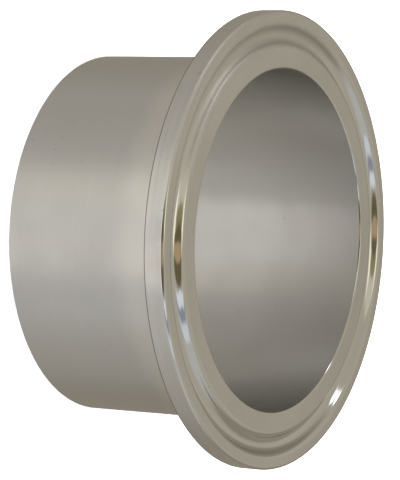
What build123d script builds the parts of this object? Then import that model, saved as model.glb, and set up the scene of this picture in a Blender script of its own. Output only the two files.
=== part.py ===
from build123d import *

import os
from math import acos, radians, sin, tan

# Sanitary clamp ferrule for hygienic tubing, turned from one piece of stainless steel.
#
# A thin tube, to be butt-welded to a pipe, opens into a flange. The flange's face carries the gasket in a
# round-bottomed groove, and its back slopes so that a clamp ring draws two such ferrules together.
#
# Frame: millimetres, origin at the centre of the weld end, +Z along the axis towards the clamp face.

# ---- Tube ----
overall_length = 28.6
tube_diameter = 50.8
wall_thickness = 1.5

# ---- Clamp flange. It grows out from the tube: first the groove, then the rim ----
tube_to_groove = 3.1
groove_to_rim = 3.45
rim_thickness = 3.0
back_slope_degrees = 20.0
neck_fillet = 2.5

# ---- Gasket groove in the clamp face ----
groove_depth = 1.25
groove_bottom_radius = 1.2
groove_shoulder_radius = 0.5

# ---- Broken edges ----
bore_mouth_chamfer = 0.3
rim_front_chamfer = 0.3
rim_back_chamfer = 0.2
weld_end_chamfer = 0.15

# ---- Places that follow from the sizes ----
tube_radius = tube_diameter / 2
bore_radius = tube_radius - wall_thickness
groove_radius = tube_radius + tube_to_groove
flange_radius = groove_radius + groove_to_rim
face_height = overall_length
rim_back_height = face_height - rim_thickness
neck_height = rim_back_height - (flange_radius - tube_radius) * tan(radians(back_slope_degrees))


def groove_half_width():
    """Half the width of the groove's opening, from shoulder tangent to shoulder tangent."""
    swing = groove_bottom_radius + groove_shoulder_radius
    return swing * sin(acos(1 - groove_depth / swing))


# ---- The section: half of a cut through the axis, X outwards and Y up ----
with BuildSketch() as section:
    with BuildLine():
        Polyline(
            (bore_radius, 0),
            (tube_radius, 0),
            (tube_radius, neck_height),
            (flange_radius, rim_back_height),
            (flange_radius, face_height),
            (bore_radius, face_height),
            close=True,
        )
    make_face()

    # The weld end is cut square, and it is deburred as the other sharp edges are.
    chamfer(section.vertices().group_by(Axis.Y)[0], weld_end_chamfer)
    bore_mouth = section.vertices().group_by(Axis.Y)[-1].sort_by(Axis.X)[0]
    chamfer(bore_mouth, bore_mouth_chamfer)
    rim_front = section.vertices().group_by(Axis.X)[-1].sort_by(Axis.Y)[-1]
    chamfer(rim_front, rim_front_chamfer)
    rim_back = section.vertices().group_by(Axis.X)[-1].sort_by(Axis.Y)[0]
    chamfer(rim_back, rim_back_chamfer)

    # The neck, where the sloped back runs into the tube.
    neck = section.vertices().sort_by_distance((tube_radius, neck_height))[0]
    fillet(neck, neck_fillet)

    # The groove's bottom is an arc. Its two corners at the face are rounded into soft shoulders.
    with Locations((groove_radius, face_height - groove_depth + groove_bottom_radius)):
        Circle(groove_bottom_radius, mode=Mode.SUBTRACT)
    shoulders = section.vertices().group_by(Axis.Y)[-1].sort_by(Axis.X)[1:-1]
    fillet(shoulders, groove_shoulder_radius)

# ---- The ferrule: the section turned once round the axis ----
with BuildPart() as ferrule:
    add(Plane.XZ * section.sketch)
    revolve(axis=Axis.Z)

ferrule.part.label = "ferrule"

os.makedirs("parts", exist_ok=True)
export_step(ferrule.part, "parts/ferrule.step")

print(f"bore diameter {2 * bore_radius:.2f}, flange diameter {2 * flange_radius:.2f}")
print(f"groove diameter {2 * groove_radius:.2f}, opening {2 * groove_half_width():.2f} wide")
print(f"neck at {neck_height:.2f}, volume {ferrule.part.volume:.0f} mm3")
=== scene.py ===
# %% [markdown]
# # A sanitary clamp ferrule in a small studio
#
# The ferrule is one turned piece of stainless steel: a thin tube that opens into a clamp flange. The packed
# CAD model gives its size and place. This script turns a finer mesh of the same section, gives each zone the
# finish that its tool left, and lights it with soft panels.

from math import acos, degrees, pi, radians, sin, tan
from types import SimpleNamespace

import bmesh
import bpy
from mathutils import Matrix, Vector


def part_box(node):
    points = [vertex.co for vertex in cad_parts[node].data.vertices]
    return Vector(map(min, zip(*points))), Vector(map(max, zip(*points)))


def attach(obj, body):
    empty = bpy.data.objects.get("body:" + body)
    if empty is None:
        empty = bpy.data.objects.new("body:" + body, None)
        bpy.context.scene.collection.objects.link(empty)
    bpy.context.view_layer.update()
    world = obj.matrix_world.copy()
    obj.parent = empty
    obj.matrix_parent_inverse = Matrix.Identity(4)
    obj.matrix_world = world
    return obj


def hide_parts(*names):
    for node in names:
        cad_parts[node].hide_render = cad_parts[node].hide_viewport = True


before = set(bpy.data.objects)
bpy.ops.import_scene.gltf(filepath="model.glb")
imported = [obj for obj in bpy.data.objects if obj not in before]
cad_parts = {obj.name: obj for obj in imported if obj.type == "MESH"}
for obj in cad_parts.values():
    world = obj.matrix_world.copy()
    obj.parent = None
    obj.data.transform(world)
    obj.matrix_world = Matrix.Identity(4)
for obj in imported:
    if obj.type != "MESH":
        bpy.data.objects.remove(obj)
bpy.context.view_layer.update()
_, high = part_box("ferrule")
MM = 0.001
flange_radius = high.x
face_height = high.z
print("flange radius", round(flange_radius / MM, 2), "mm, length", round(face_height / MM, 2), "mm")

# %% [markdown]
# ## Camera
#
# The camera stands back with a long lens, as for a catalogue, so that the rings look almost like true
# ellipses. It looks down on the clamp face from about 30 degrees, and it is turned on its side, so the
# ferrule's axis runs nearly level across the frame. A track-to constraint would aim it too, but it would hold
# the camera upright. A matrix built from three directions can be turned by any roll.

# %% Place the camera
camera_place = Vector((-0.31974, 0.0, face_height + 0.17376))
camera_aim = Vector((0.0, -0.00047, face_height - 0.0133))
camera_roll = radians(2.64)
# The camera lies on its side, so the direction that it takes for up starts from the floor's +Y.
SIDEWAYS = Vector((0, 1, 0))
UPRIGHT = Vector((0, 0, 1))

camera_data = bpy.data.cameras.new("camera")
camera_data.sensor_width = 36.0
camera_data.lens = 196.2
camera = bpy.data.objects.new("camera", camera_data)
bpy.context.scene.collection.objects.link(camera)

back = (camera_place - camera_aim).normalized()
right = SIDEWAYS.cross(back).normalized()
up = back.cross(right)
turned = Matrix((right, up, back)).transposed() @ Matrix.Rotation(camera_roll, 3, "Z")
camera.matrix_world = Matrix.Translation(camera_place) @ turned.to_4x4()
bpy.context.scene.camera = camera
print("camera looks down by", round(90 - degrees(back.angle(UPRIGHT)), 1), "degrees")

# %% [markdown]
# ## Section
#
# A turned part is its section swept round the axis, so the section is drawn first, as a lathe tool would cut
# it: straight moves joined by arcs. Each corner of the section has its own radius. A bevel would round
# the corners too, but it gives true arcs only at right angles, and here most corners are not square. So
# each arc is made with the spin operator, which swings one vertex about the arc's centre.

# %% Name the sizes of the section
wall_thickness = 1.5 * MM
tube_radius = 25.4 * MM
bore_radius = tube_radius - wall_thickness
rim_thickness = 3.0 * MM
back_slope = radians(20)
neck_radius = 2.5 * MM

groove_radius = 28.5 * MM
groove_depth = 1.25 * MM
groove_bottom_radius = 1.2 * MM
groove_shoulder_radius = 0.8 * MM

bore_mouth_radius = 0.25 * MM
rim_front_radius = 0.45 * MM
rim_back_radius = 0.15 * MM
weld_end_radius = 0.12 * MM

rim_back_height = face_height - rim_thickness
neck_height = rim_back_height - (flange_radius - tube_radius) * tan(back_slope)
print("rim starts at", round(rim_back_height / MM, 2), "mm, neck at", round(neck_height / MM, 2), "mm")

# %% Work out the groove, whose bottom arc meets a shoulder's arc on each flank
groove_floor_height = face_height - groove_depth
flank_angle = acos(1 - groove_depth / (groove_bottom_radius + groove_shoulder_radius))
floor_half = groove_bottom_radius * tan(flank_angle / 2)
opening_half = (groove_bottom_radius + groove_shoulder_radius) * sin(flank_angle)
shoulder_half = opening_half - groove_shoulder_radius * tan(flank_angle / 2)
print("groove flank", round(degrees(flank_angle), 1), "degrees")
print("groove opening", round(2 * opening_half / MM, 2), "mm")

# %% List the corners as distance from the axis, height and radius
section_corners = [
    (bore_radius, 0.0, weld_end_radius),
    (bore_radius, face_height, bore_mouth_radius),
    (groove_radius - shoulder_half, face_height, groove_shoulder_radius),
    (groove_radius - floor_half, groove_floor_height, groove_bottom_radius),
    (groove_radius + floor_half, groove_floor_height, groove_bottom_radius),
    (groove_radius + shoulder_half, face_height, groove_shoulder_radius),
    (flange_radius, face_height, rim_front_radius),
    (flange_radius, rim_back_height, rim_back_radius),
    (tube_radius, neck_height, neck_radius),
    (tube_radius, 0.0, weld_end_radius),
]
print("section:", len(section_corners), "corners")

# %% Helpers that draw a straight move and an arc
ARC_STEP = radians(5)
FEWEST_ARC_STEPS = 4
EDGE_MARGIN = 0.08 * MM
SAME_PLACE = 1e-7
print("arcs turn in steps of", round(degrees(ARC_STEP)), "degrees")


def extend(bm, tip, place):
    """Draws a straight move from the tip vertex to a place, and returns the new tip."""
    new_tip = bmesh.ops.extrude_vert_indiv(bm, verts=[tip])["verts"][0]
    new_tip.co = place
    return new_tip


def straight(bm, tip, place):
    """A straight move with a point close to each end, so that shading stays flat between the arcs."""
    start = tip.co.copy()
    run = place - start
    if run.length > 4 * EDGE_MARGIN:
        tip = extend(bm, tip, start + run.normalized() * EDGE_MARGIN)
        tip = extend(bm, tip, place - run.normalized() * EDGE_MARGIN)
    return extend(bm, tip, place) if run.length > SAME_PLACE else tip


def corner_arc(before, corner, after, radius):
    """Where the arc that rounds a corner starts, its centre, and its turn about +Y."""
    to_before = (before - corner).normalized()
    to_after = (after - corner).normalized()
    half_angle = to_before.angle(to_after) / 2
    start = corner + to_before * radius / tan(half_angle)
    centre = corner + (to_before + to_after).normalized() * radius / sin(half_angle)
    turn = pi - 2 * half_angle
    if to_before.cross(to_after).y < 0:
        turn = -turn
    return start, centre, turn


def arc(bm, tip, centre, turn):
    """Swings the tip vertex about a centre, and returns the new tip."""
    steps = max(FEWEST_ARC_STEPS, round(abs(turn) / ARC_STEP))
    made = bmesh.ops.spin(bm, geom=[tip], cent=centre, axis=(0, 1, 0), angle=turn, steps=steps)
    return [v for v in made["geom_last"] if isinstance(v, bmesh.types.BMVert)][0]


# %% Draw the section
section = bmesh.new()
corners = [Vector((x, 0, z)) for x, z, _ in section_corners]
radii = [radius for _, _, radius in section_corners]
arcs = [
    corner_arc(corners[i - 1], corners[i], corners[(i + 1) % len(corners)], radii[i])
    for i in range(len(corners))
]
tip = section.verts.new(arcs[0][0])
for i, (start, centre, turn) in enumerate(arcs):
    if i > 0:
        tip = straight(section, tip, start)
    tip = arc(section, tip, centre, -turn)
tip = straight(section, tip, arcs[0][0])
bmesh.ops.remove_doubles(section, verts=section.verts, dist=SAME_PLACE)
print("section:", len(section.verts), "points,", len(section.edges), "edges")

# %% [markdown]
# ## Turning the ferrule
#
# The section is spun round the axis in even steps, so the long reflections run smoothly round the ferrule.
# One full spin in fine steps is slow, because each step looks through all that was made before it. So
# one eighth is spun in fine steps, a second spin copies that wedge round the axis, and the wedges are merged.

# %% Spin the section round the axis
WEDGES = 8
STEPS_IN_WEDGE = 60


def whole(bm):
    """Everything in a mesh, as the operators take it."""
    return bm.verts[:] + bm.edges[:] + bm.faces[:]


to_axis = {"cent": (0, 0, 0), "axis": (0, 0, 1)}
wedge_angle = 2 * pi / WEDGES
bmesh.ops.spin(section, geom=whole(section), angle=wedge_angle, steps=STEPS_IN_WEDGE, **to_axis)
bmesh.ops.spin(
    section,
    geom=whole(section),
    angle=2 * pi - wedge_angle,
    steps=WEDGES - 1,
    use_duplicate=True,
    **to_axis,
)
bmesh.ops.remove_doubles(section, verts=section.verts, dist=SAME_PLACE)
bmesh.ops.recalc_face_normals(section, faces=section.faces)
open_edges = [e for e in section.edges if not e.is_manifold]
print("ferrule:", len(section.faces), "faces,", len(open_edges), "open edges")

# %% Make it an object with smooth faces
ferrule_mesh = bpy.data.meshes.new("turned_ferrule")
for face in section.faces:
    face.smooth = True
section.to_mesh(ferrule_mesh)
section.free()
ferrule = bpy.data.objects.new("turned_ferrule", ferrule_mesh)
bpy.context.scene.collection.objects.link(ferrule)
print("object:", ferrule.name, [round(side / MM, 2) for side in ferrule.dimensions], "mm")

# %% [markdown]
# ## Building node trees
#
# Node trees are long when every node is written out. A helper that makes a node, sets it and joins its inputs
# keeps each effect a few lines long, and short helpers for arithmetic, soft steps and mixes read as formulas.

# %% Helpers that make a node and join its inputs
def add_node(tree, kind, **settings):
    """A node with its settings, and the values or links of its inputs by index or name."""
    node = tree.nodes.new(kind)
    inputs = settings.pop("inputs", {})
    for name, value in settings.items():
        setattr(node, name, value)
    for key, value in inputs.items():
        if isinstance(value, bpy.types.NodeSocket):
            tree.links.new(value, node.inputs[key])
        else:
            node.inputs[key].default_value = value
    return node


def math_node(tree, operation, first, second=0.0, third=0.0):
    """The output of a Math node."""
    values = {0: first, 1: second, 2: third}
    return add_node(tree, "ShaderNodeMath", operation=operation, inputs=values).outputs[0]


def vector_node(tree, operation, inputs):
    """The outputs of a Vector Math node: "Vector", or "Value" where it measures."""
    return add_node(tree, "ShaderNodeVectorMath", operation=operation, inputs=inputs).outputs


def soft_step(tree, value, start, end, low=0.0, high=1.0):
    """A smooth change from low to high as the value goes from start to end."""
    values = {"Value": value, "From Min": start, "From Max": end, "To Min": low, "To Max": high}
    node = add_node(tree, "ShaderNodeMapRange", interpolation_type="SMOOTHSTEP", inputs=values)
    return node.outputs[0]


# %% Helpers for mixes and groups
# A Mix node keeps separate sockets for each kind of data, so its sockets are picked by number.
MIX_FACTOR = 0
MIX_FLOATS = (2, 3)
MIX_COLOURS = (6, 7)
MIXED_COLOUR = 2
print("colours are mixed from sockets", MIX_COLOURS)


def mix_colours(tree, share, first, second):
    """The first colour where the share is 0, and the second where it is 1."""
    values = {MIX_FACTOR: share, MIX_COLOURS[0]: first, MIX_COLOURS[1]: second}
    node = add_node(tree, "ShaderNodeMix", data_type="RGBA", inputs=values)
    return node.outputs[MIXED_COLOUR]


def node_group(name, inputs, outputs):
    """An empty shader group with its sockets, each given as (name, type), and its two end nodes."""
    group = bpy.data.node_groups.new(name, "ShaderNodeTree")
    for socket_name, kind in inputs:
        group.interface.new_socket(socket_name, in_out="INPUT", socket_type="NodeSocket" + kind)
    for socket_name, kind in outputs:
        group.interface.new_socket(socket_name, in_out="OUTPUT", socket_type="NodeSocket" + kind)
    given = group.nodes.new("NodeGroupInput").outputs
    result = group.nodes.new("NodeGroupOutput").inputs
    return group, given, result


# %% [markdown]
# ## What the tools left on the steel
#
# Apart from painted shade in the bore and on the rim's back edge, all that tells the ferrule's surfaces apart
# is how each was finished. A lathe tool leaves rings, stacked along a wall and nested on a face. Handling
# leaves a faint haze. Both effects are used by every finish, so each is a node group with named inputs, built
# once. They read Object coordinates, so the rings stay true to the axis.
#
# A wave texture would give even rings, but a real tool's rings vary. Noise that runs fast across the rings
# and slowly along them gives rings that start, fade and change in strength.

# %% Rings that a lathe tool leaves
# "Across" says which way the rings repeat: 0 along the axis, as on a wall, 1 along the radius, as on a face.
lathe_rings, given, result = node_group(
    "lathe_rings",
    [("Position", "Vector"), ("Across", "Float"), ("Pitch", "Float"), ("Length", "Float")],
    [("Rings", "Float"), ("Bands", "Float")],
)
place = add_node(lathe_rings, "ShaderNodeSeparateXYZ", inputs={0: given["Position"]}).outputs
flat_place = {0: place["X"], 1: place["Y"], 2: 0.0}
level = add_node(lathe_rings, "ShaderNodeCombineXYZ", inputs=flat_place).outputs[0]
outward = vector_node(lathe_rings, "NORMALIZE", {0: level})["Vector"]
radius = vector_node(lathe_rings, "LENGTH", {0: level})["Value"]
along = add_node(
    lathe_rings,
    "ShaderNodeMix",
    data_type="FLOAT",
    inputs={MIX_FACTOR: given["Across"], MIX_FLOATS[0]: place["Z"], MIX_FLOATS[1]: radius},
).outputs[0]
round_axis = vector_node(lathe_rings, "SCALE", {0: outward, "Scale": given["Length"]})["Vector"]
print("lathe_rings takes", [name for name in given.keys() if name])

# %% Fine rings, and the broad bands that a worn tool adds
RING_NOISE = {"Scale": 1.0, "Detail": 3.0, "Roughness": 0.7}
PITCHES_TO_REPEAT = {"Rings": 1.0, "Bands": 9.0}
for output, pitches in PITCHES_TO_REPEAT.items():
    spacing = math_node(lathe_rings, "MULTIPLY", given["Pitch"], pitches)
    step_across = math_node(lathe_rings, "DIVIDE", along, spacing)
    lift = add_node(lathe_rings, "ShaderNodeCombineXYZ", inputs={2: step_across}).outputs[0]
    spot = vector_node(lathe_rings, "ADD", {0: round_axis, 1: lift})["Vector"]
    noise = add_node(lathe_rings, "ShaderNodeTexNoise", inputs={"Vector": spot, **RING_NOISE})
    lathe_rings.links.new(noise.outputs["Fac"], result[output])
print("lathe_rings gives", list(PITCHES_TO_REPEAT))

# %% Haze, drift of tone, specks and ripple that handling leaves
MARKS = [
    # output, scale, detail, noise where it starts, noise where it is full
    ("Haze", 2.5, 5.0, 0.42, 0.68),
    ("Drift", 0.7, 1.0, 0.3, 0.7),
    ("Specks", 16.0, 0.0, 0.81, 0.84),
    ("Ripple", 3.0, 0.0, 0.0, 1.0),
]
handling_marks, given, result = node_group(
    "handling_marks",
    [("Position", "Vector"), ("Size", "Float"), ("Seed", "Float")],
    [(mark[0], "Float") for mark in MARKS],
)
shrink = math_node(handling_marks, "DIVIDE", 1.0, given["Size"])
unit = vector_node(handling_marks, "SCALE", {0: given["Position"], "Scale": shrink})["Vector"]
for output, scale, detail, start, end in MARKS:
    noise = add_node(
        handling_marks,
        "ShaderNodeTexNoise",
        noise_dimensions="4D",
        inputs={"Vector": unit, "W": given["Seed"], "Scale": scale, "Detail": detail},
    )
    mask = soft_step(handling_marks, noise.outputs["Fac"], start, end)
    handling_marks.links.new(mask, result[output])
print("groups:", [group.name for group in bpy.data.node_groups])

# %% [markdown]
# ## One steel, five finishes
#
# One function makes a finish from a few values, so the materials differ in what differs on the real piece,
# and the bore also in a painted shade. Rings scatter light across themselves and hardly along themselves,
# which is anisotropy: the tangent runs round the axis and the shader is turned a quarter turn, so reflections
# stay crisp round the wall and smear along it. The rings also show as a faint tone and as a shallow relief.

# %% Make a steel finish
STEEL = (0.612, 0.606, 0.6)
WORN_STEEL = (0.29, 0.28, 0.265)
QUARTER_TURN = 0.25
RING_LENGTH = 1.5
MARK_SIZE = 12 * MM
SPECK_TONE = 0.25
print("base colour of the steel", STEEL, "and where it is worn", WORN_STEEL)


def opaque(colour):
    """A colour with the alpha that a colour socket takes."""
    return (*colour, 1.0)


def steel_finish(
    name,
    across,
    roughness,
    anisotropy,
    pitch,
    ring_depth,
    ripple_depth,
    seed,
    steel=STEEL,
    ring_tone=0.08,
    haze=0.06,
    drift=0.05,
):
    """A metal with lathe rings. Returns its material, tree, shader, position, base colour and roughness."""
    material = bpy.data.materials.new(name)
    material.use_nodes = True
    tree = material.node_tree
    shader = tree.nodes["Principled BSDF"]
    shader.inputs["Metallic"].default_value = 1.0
    shader.inputs["Anisotropic"].default_value = anisotropy
    shader.inputs["Anisotropic Rotation"].default_value = QUARTER_TURN
    position = add_node(tree, "ShaderNodeTexCoord").outputs["Object"]
    tangent = add_node(tree, "ShaderNodeTangent", direction_type="RADIAL", axis="Z").outputs[0]
    tree.links.new(tangent, shader.inputs["Tangent"])

    rings = add_node(
        tree,
        "ShaderNodeGroup",
        node_tree=lathe_rings,
        inputs={"Position": position, "Across": across, "Pitch": pitch, "Length": RING_LENGTH},
    ).outputs
    marks = add_node(
        tree,
        "ShaderNodeGroup",
        node_tree=handling_marks,
        inputs={"Position": position, "Size": MARK_SIZE, "Seed": seed},
    ).outputs

    dull = math_node(tree, "MULTIPLY", marks["Drift"], drift)
    dull = math_node(tree, "MULTIPLY_ADD", rings["Rings"], ring_tone, dull)
    dull = math_node(tree, "MULTIPLY_ADD", marks["Specks"], SPECK_TONE, dull)
    colour = mix_colours(tree, dull, opaque(steel), opaque(WORN_STEEL))
    tree.links.new(colour, shader.inputs["Base Color"])

    rough = math_node(tree, "MULTIPLY_ADD", marks["Haze"], haze, roughness)
    rough = math_node(tree, "MULTIPLY_ADD", rings["Bands"], haze, rough)
    tree.links.new(rough, shader.inputs["Roughness"])

    relief = math_node(tree, "MULTIPLY", rings["Rings"], ring_depth)
    relief = math_node(tree, "MULTIPLY_ADD", marks["Ripple"], ripple_depth, relief)
    bump = add_node(tree, "ShaderNodeBump", inputs={"Strength": 1.0, "Distance": 1.0, "Height": relief})
    tree.links.new(bump.outputs[0], shader.inputs["Normal"])
    return SimpleNamespace(
        material=material, tree=tree, shader=shader, position=position, colour=colour, rough=rough
    )


ON_WALL = 0.0
ON_FACE = 1.0

# %% [markdown]
# ## Tube wall
#
# The wall of the tube is drawn and then brushed on the lathe, so it is satin: fine rings, hardly any relief,
# and a strong anisotropy that stretches each reflection along the tube. A plain rough metal would look like
# cast steel, because its reflections spread the same way in all directions.

# %% Satin of the tube wall
wall = steel_finish(
    "satin_tube_wall",
    across=ON_WALL,
    roughness=0.34,
    anisotropy=0.85,
    pitch=0.45 * MM,
    ring_depth=0.003 * MM,
    ripple_depth=0.004 * MM,
    seed=1.0,
    ring_tone=0.12,
    haze=0.03,
    drift=0.02,
)
print(wall.material.name, len(wall.tree.nodes), "nodes")

# %% [markdown]
# Beside the neck, a band of the wall is given slightly brighter steel. It could be a second material, but its
# border would be a hard line. A soft step along the axis mixes it into the wall's colour.

# %% Brighten a band of the wall beside the neck
NECK_BAND_STEEL = (0.68, 0.668, 0.645)
neck_band_starts = neck_height - 7.5 * MM
neck_band_is_full = neck_height - 3.0 * MM
wall_height = add_node(wall.tree, "ShaderNodeSeparateXYZ", inputs={0: wall.position}).outputs["Z"]
brightening = soft_step(wall.tree, wall_height, neck_band_starts, neck_band_is_full)
wall_colour = mix_colours(wall.tree, brightening, wall.colour, opaque(NECK_BAND_STEEL))
wall.tree.links.new(wall_colour, wall.shader.inputs["Base Color"])
print("fresh band from", round(neck_band_starts / MM, 1), "to", round(neck_height / MM, 1), "mm")

# %% [markdown]
# ## Bore
#
# The product flows through the bore, so it is finer than the outside and slightly less rough. Its steel is
# painted a little darker, as painted shade for light that reaches it after meeting steel before. Its rings
# are closer, as a fine feed leaves them.

# %% Satin of the bore
# The bore's darker steel colour is painted shade.
SHADED_BORE_STEEL = (0.565, 0.558, 0.548)
bore = steel_finish(
    "satin_bore",
    across=ON_WALL,
    roughness=0.3,
    anisotropy=0.85,
    pitch=0.3 * MM,
    ring_depth=0.0015 * MM,
    ripple_depth=0.004 * MM,
    seed=2.0,
    steel=SHADED_BORE_STEEL,
    haze=0.03,
    drift=0.03,
)
print(bore.material.name, len(bore.tree.nodes), "nodes")

# %% [markdown]
# ## Rim
#
# The rim is left as the turning tool cut it: bright, with the most visible rings of all. So it has the
# brightest steel, the strongest tone in its rings and the deepest relief.

# %% Turned finish of the rim
RIM_STEEL = (0.68, 0.672, 0.66)
rim = steel_finish(
    "turned_rim",
    across=ON_WALL,
    roughness=0.26,
    anisotropy=0.85,
    pitch=0.5 * MM,
    ring_depth=0.008 * MM,
    ripple_depth=0.004 * MM,
    seed=3.0,
    steel=RIM_STEEL,
    ring_tone=0.4,
)
print(rim.material.name, len(rim.tree.nodes), "nodes")

# %% [markdown]
# Where the rim's surface ends at the back edge, a thin dark line is painted: painted shade where the rim's
# edge meets the tube behind it. A line that thin would need tiny faces if it were modelled. A narrow mask on
# the height draws it as a tone.

# %% Paint a shade line on the rim's back edge
# A dark steel colour painted as shade along the rim's back edge.
PAINTED_SHADE_STEEL = (0.2, 0.185, 0.165)
PAINTED_SHADE_WIDTH = 0.15 * MM
painted_shade_fades_to = rim_back_height + 1.3 * PAINTED_SHADE_WIDTH
painted_shade_is_full = rim_back_height + 0.7 * PAINTED_SHADE_WIDTH
rim_level = add_node(rim.tree, "ShaderNodeSeparateXYZ", inputs={0: rim.position}).outputs["Z"]
painted_shade = soft_step(rim.tree, rim_level, painted_shade_fades_to, painted_shade_is_full)
rim_colour = mix_colours(rim.tree, painted_shade, rim.colour, opaque(PAINTED_SHADE_STEEL))
rim.tree.links.new(rim_colour, rim.shader.inputs["Base Color"])
print("burr line", PAINTED_SHADE_WIDTH / MM, "mm wide")

# %% [markdown]
# ## Clamp face
#
# The clamp face seals against its gasket, so it is polished flat after turning. It keeps nested rings, now
# faint, and drifts in tone where the polishing pad worked longer.

# %% Polish of the clamp face
clamp_face = steel_finish(
    "polished_clamp_face",
    across=ON_FACE,
    roughness=0.18,
    anisotropy=0.5,
    pitch=0.4 * MM,
    ring_depth=0.002 * MM,
    ripple_depth=0.01 * MM,
    seed=4.0,
    drift=0.12,
)
print(clamp_face.material.name, len(clamp_face.tree.nodes), "nodes")

# %% [markdown]
# ## Gasket groove
#
# The groove is polished most, because the gasket's bead seals in it. It is close to a mirror, so anisotropy
# is off and the rings are almost gone. The same finish is on the two small roundings that a wheel also
# reaches, at the bore's mouth and on the front of the rim.

# %% Mirror polish of the groove
groove = steel_finish(
    "polished_groove",
    across=ON_FACE,
    roughness=0.06,
    anisotropy=0.0,
    pitch=0.3 * MM,
    ring_depth=0.0003 * MM,
    ripple_depth=0.01 * MM,
    seed=5.0,
    ring_tone=0.03,
    haze=0.03,
)
print(groove.material.name, len(groove.tree.nodes), "nodes")

# %% [markdown]
# The polishing wheel pressed less on one side, and the mirror goes soft there. The mask is a distance along
# one direction across the flange, which keeps the change slow and in one place, unlike noise.

# %% Let the groove's polish fade on one side
LIGHT_SIDE = (-0.42, 0.91, 0.0)
FADE_STARTS = 14 * MM
FADE_IS_FULL = 24 * MM
EXTRA_ROUGHNESS = 0.38
light_side = vector_node(groove.tree, "DOT_PRODUCT", {0: groove.position, 1: LIGHT_SIDE})["Value"]
fade = soft_step(groove.tree, light_side, FADE_STARTS, FADE_IS_FULL, 0.0, EXTRA_ROUGHNESS)
groove_rough = math_node(groove.tree, "ADD", groove.rough, fade)
groove.tree.links.new(groove_rough, groove.shader.inputs["Roughness"])
print("polish fades from", round(FADE_STARTS / MM), "to", round(FADE_IS_FULL / MM), "mm off the axis")

# %% [markdown]
# ## Where each finish goes
#
# The tool changes at the edges of the section, so a face's distance from the axis and its height say which
# finish it has. Each zone is a ring-shaped box. A later zone takes faces from an earlier one, and
# what no zone takes is tube wall, which also covers the neck and the flange's back.

# %% Give each zone of the section its finish
WALL_SKIN = 0.1 * MM
FACE_SKIN = 0.25 * MM
NO_LIMIT = 1.0
ZONES = [
    # finish, smallest radius, largest radius, lowest, highest
    (bore, 0.0, bore_radius + WALL_SKIN, 0.0, face_height),
    (rim, flange_radius - rim_back_radius, NO_LIMIT, rim_back_height, face_height),
    (clamp_face, bore_radius, flange_radius, face_height - FACE_SKIN, NO_LIMIT),
    (
        groove,
        groove_radius - opening_half,
        groove_radius + opening_half,
        face_height - 2 * groove_depth,
        NO_LIMIT,
    ),
    (groove, bore_radius, bore_radius + bore_mouth_radius, face_height - bore_mouth_radius, NO_LIMIT),
    (groove, flange_radius - rim_front_radius, NO_LIMIT, face_height - rim_front_radius, NO_LIMIT),
]
finishes = [wall, bore, rim, clamp_face, groove]
for finish in finishes:
    ferrule_mesh.materials.append(finish.material)
for polygon in ferrule_mesh.polygons:
    middle = polygon.center
    reach = middle.xy.length
    for finish, inner, outer, lowest, highest in ZONES:
        if inner < reach < outer and lowest < middle.z < highest:
            polygon.material_index = finishes.index(finish)
for index, finish in enumerate(finishes):
    count = sum(polygon.material_index == index for polygon in ferrule_mesh.polygons)
    print(finish.material.name, count, "faces")

# %% Join the ferrule to the frame
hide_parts("ferrule")
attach(ferrule, "root")
print("the turned ferrule takes the place of the packed one")

# %% [markdown]
# ## Studio
#
# Polished steel shows what stands round it, so the studio is drawn as what the steel sees: a pale room with
# soft panels. The floor is a plain pale disc. Mirror rays pass through it, because the ferrule is seen
# from many sides and its walls should show the studio rather than one flat sheet.

# %% Floor
FLOOR_RADIUS = 6.0
FLOOR_COLOUR = (0.8, 0.8, 0.8)
floor_bm = bmesh.new()
bmesh.ops.create_circle(floor_bm, cap_ends=True, radius=FLOOR_RADIUS, segments=64)
floor_mesh = bpy.data.meshes.new("floor")
floor_bm.to_mesh(floor_mesh)
floor_bm.free()
floor = bpy.data.objects.new("floor", floor_mesh)
bpy.context.scene.collection.objects.link(floor)
floor.visible_glossy = False
print("floor:", len(floor_mesh.vertices), "corners,", 2 * FLOOR_RADIUS, "m across")

# %% Matt paint of the floor
floor_paint = bpy.data.materials.new("floor_paint")
floor_paint.use_nodes = True
floor_shader = floor_paint.node_tree.nodes["Principled BSDF"]
floor_shader.inputs["Base Color"].default_value = opaque(FLOOR_COLOUR)
floor_shader.inputs["Roughness"].default_value = 0.9
floor_shader.inputs["Specular IOR Level"].default_value = 0.0
floor_mesh.materials.append(floor_paint)
print("floor paint:", floor_paint.name)

# %% [markdown]
# The room is a node tree in the World, drawn in two parts. The table round the ferrule changes with the
# compass: brightest on the camera's side, falling off behind. The room above it changes with height. Soft
# panels then stand in it, each placed by azimuth, counted from the camera's side, and elevation. A panel is a
# group node, used again for each one, which lays one colour over what is behind it with soft borders. Area
# lights could stand in the same places, but their outlines are hard and each adds noise to the metal.

# %% Tones are given as the steel shows them
STEEL_REFLECTANCE = 0.6


def steel_tone(red, green, blue, gain=1.0):
    """The light that the steel shows as this display tone, from 0 to 255, times a gain."""
    shown = [c / 255 for c in (red, green, blue)]
    linear = [c / 12.92 if c <= 0.04045 else ((c + 0.055) / 1.055) ** 2.4 for c in shown]
    return [gain * c / STEEL_REFLECTANCE for c in linear] + [1.0]


print("light behind a middle grey:", round(steel_tone(128, 128, 128)[0], 3))

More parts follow.
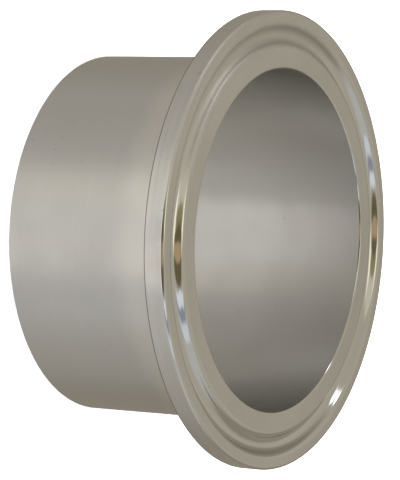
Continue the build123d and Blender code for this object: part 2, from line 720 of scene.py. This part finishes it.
# %% Build the group that lays one panel over the room
HALF_CIRCLE = 180.0
SQUARENESS = 5.0
PANEL_VALUES = [
    "Azimuth",
    "Elevation",
    "Centre Azimuth",
    "Centre Elevation",
    "Half Width",
    "Half Height",
    "Softness",
    "Lean",
]
panel, given, result = node_group(
    "studio_panel",
    [("Behind", "Color"), ("Tone", "Color")] + [(name, "Float") for name in PANEL_VALUES],
    [("Room", "Color")],
)
upward = math_node(panel, "SUBTRACT", given["Elevation"], given["Centre Elevation"])
leaning = math_node(panel, "MULTIPLY_ADD", upward, given["Lean"], given["Centre Azimuth"])
sideways = math_node(panel, "SUBTRACT", given["Azimuth"], leaning)
sideways = math_node(panel, "WRAP", sideways, HALF_CIRCLE, -HALF_CIRCLE)
across = math_node(panel, "ABSOLUTE", math_node(panel, "DIVIDE", sideways, given["Half Width"]))
upward = math_node(panel, "ABSOLUTE", math_node(panel, "DIVIDE", upward, given["Half Height"]))
across = math_node(panel, "POWER", across, SQUARENESS)
upward = math_node(panel, "POWER", upward, SQUARENESS)
reach = math_node(panel, "POWER", math_node(panel, "ADD", across, upward), 1 / SQUARENESS)
outside = math_node(panel, "ADD", 1.0, given["Softness"])
inside = math_node(panel, "SUBTRACT", 1.0, given["Softness"])
edge = soft_step(panel, reach, outside, inside)
panel.links.new(mix_colours(panel, edge, given["Behind"], given["Tone"]), result["Room"])
print("studio_panel:", len(panel.nodes), "nodes")

# %% Find the azimuth and elevation of each direction
world = bpy.data.worlds.new("studio")
bpy.context.scene.world = world
world.use_nodes = True
room = world.node_tree
room.nodes.clear()
direction = add_node(room, "ShaderNodeTexCoord").outputs["Generated"]
parts = add_node(room, "ShaderNodeSeparateXYZ", inputs={0: direction}).outputs
away = math_node(room, "MULTIPLY", parts["X"], -1.0)
aside = math_node(room, "MULTIPLY", parts["Y"], -1.0)
azimuth = math_node(room, "DEGREES", math_node(room, "ARCTAN2", aside, away))
elevation = math_node(room, "DEGREES", math_node(room, "ARCSINE", parts["Z"]))
print("world:", world.name)

# %% Tones of the table by azimuth and of the room by elevation
TABLE_TONES = [
    (-180, (132, 127, 116)),
    (-140, (137, 132, 121)),
    (-100, (142, 137, 128)),
    (-55, (160, 156, 151)),
    (-30, (180, 177, 172)),
    (-12, (212, 210, 206)),
    (24, (222, 220, 215)),
    (29, (186, 183, 177)),
    (50, (168, 164, 158)),
    (75, (150, 145, 137)),
    (110, (132, 126, 118)),
    (180, (124, 118, 108)),
]
ROOM_TONES = [
    (-90, (164, 160, 152)),
    (0, (154, 150, 139)),
    (28, (154, 149, 137)),
    (60, (156, 151, 136)),
    (90, (160, 155, 137)),
]
HORIZON_STARTS = -16.0
HORIZON_ENDS = 2.0


def tone_ramp(value, limit, tones):
    """A colour ramp over tones that are given by degrees, from -limit to limit."""
    share = math_node(room, "MULTIPLY_ADD", value, 0.5 / limit, 0.5)
    ramp = add_node(room, "ShaderNodeValToRGB", inputs={0: share})
    steps = ramp.color_ramp.elements
    while len(steps) < len(tones):
        steps.new(0.5)
    for step, (angle, tone) in zip(steps, tones):
        step.position = 0.5 + 0.5 * angle / limit
        step.color = steel_tone(*tone)
    return ramp.outputs["Color"]


table = tone_ramp(azimuth, HALF_CIRCLE, TABLE_TONES)
above = tone_ramp(elevation, HALF_CIRCLE / 2, ROOM_TONES)
horizon = soft_step(room, elevation, HORIZON_STARTS, HORIZON_ENDS)
light = mix_colours(room, horizon, table, above)
print("room:", len(TABLE_TONES), "table tones,", len(ROOM_TONES), "room tones")


# %% Hang the panels
def hang_panel(name, behind, tone, gain, place, half_size, softness, lean):
    """Lays a soft panel of one tone over the room. Place and half size are azimuth and elevation."""
    node = add_node(
        room,
        "ShaderNodeGroup",
        node_tree=panel,
        label=name,
        inputs={
            "Behind": behind,
            "Tone": steel_tone(*tone, gain),
            "Azimuth": azimuth,
            "Elevation": elevation,
            "Centre Azimuth": place[0],
            "Centre Elevation": place[1],
            "Half Width": half_size[0],
            "Half Height": half_size[1],
            "Softness": softness,
            "Lean": lean,
        },
    )
    return node.outputs["Room"]


PANELS = [
    # name, tone, gain, (azimuth, elevation), half size, softness, lean
    ("dim back", (126, 120, 106), 1, (172, 2), (75, 25), 0.35, 0),
    ("pale back", (158, 153, 139), 1, (-168, 36), (32, 12), 0.6, 0),
    ("warm wall", (180, 176, 160), 1, (-27, 34), (14, 42), 0.3, 0),
    ("bright card", (208, 205, 192), 1, (-26, -8), (10, 18), 0.4, 0),
    ("ceiling light", (225, 220, 202), 1.1, (-14, 74), (34, 13), 0.4, 0),
    ("cool wall", (166, 167, 162), 1, (78, 22), (22, 34), 0.9, 0),
    ("cool arch", (148, 151, 150), 1, (66, 48), (7, 28), 0.3, 1.0),
    ("light gap", (200, 204, 208), 1, (35, 22), (5, 38), 0.3, 0.28),
    ("cool shade", (126, 131, 140), 1, (45, 22), (4, 38), 0.3, 0.28),
    ("cool window", (188, 192, 196), 1, (55, 20), (6, 34), 0.4, 0.28),
    ("olive cloth", (128, 122, 90), 1, (-12, 27), (6, 32), 0.3, 0),
    ("dark stand", (92, 84, 62), 1, (11, 27), (18, 42), 0.12, 0.07),
    ("black gap", (34, 30, 24), 1, (8, -2), (22, 7), 0.2, 0),
    ("tan patch", (158, 138, 108), 1, (10, 36), (6, 34), 0.2, 0.05),
    ("lamp", (255, 255, 255), 1.9, (-95, 26), (4.5, 13), 0.4, -0.45),
]
for name, *values in PANELS:
    light = hang_panel(name, light, *values)
print("studio:", len(PANELS), "panels")

# %% [markdown]
# Panels as bright as these would tint the floor if they lit it. So the World has two sides: mirror rays see
# the room, and every other ray gets plain white light that leaves the floor and the background clean.

# %% Join the room for mirror rays with plain light for everything else
PLAIN_LIGHT = 3.0
rays = add_node(room, "ShaderNodeLightPath").outputs
seen = add_node(room, "ShaderNodeBackground", inputs={"Color": light, "Strength": 1.0})
plain = add_node(
    room, "ShaderNodeBackground", inputs={"Color": opaque((1, 1, 1)), "Strength": PLAIN_LIGHT}
)
joined = add_node(
    room,
    "ShaderNodeMixShader",
    inputs={0: rays["Is Glossy Ray"], 1: plain.outputs[0], 2: seen.outputs[0]},
)
add_node(room, "ShaderNodeOutputWorld", inputs={"Surface": joined.outputs[0]})
world.cycles.sampling_method = "NONE"
bpy.context.scene.view_settings.view_transform = "Standard"
print("world:", len(room.nodes), "nodes")
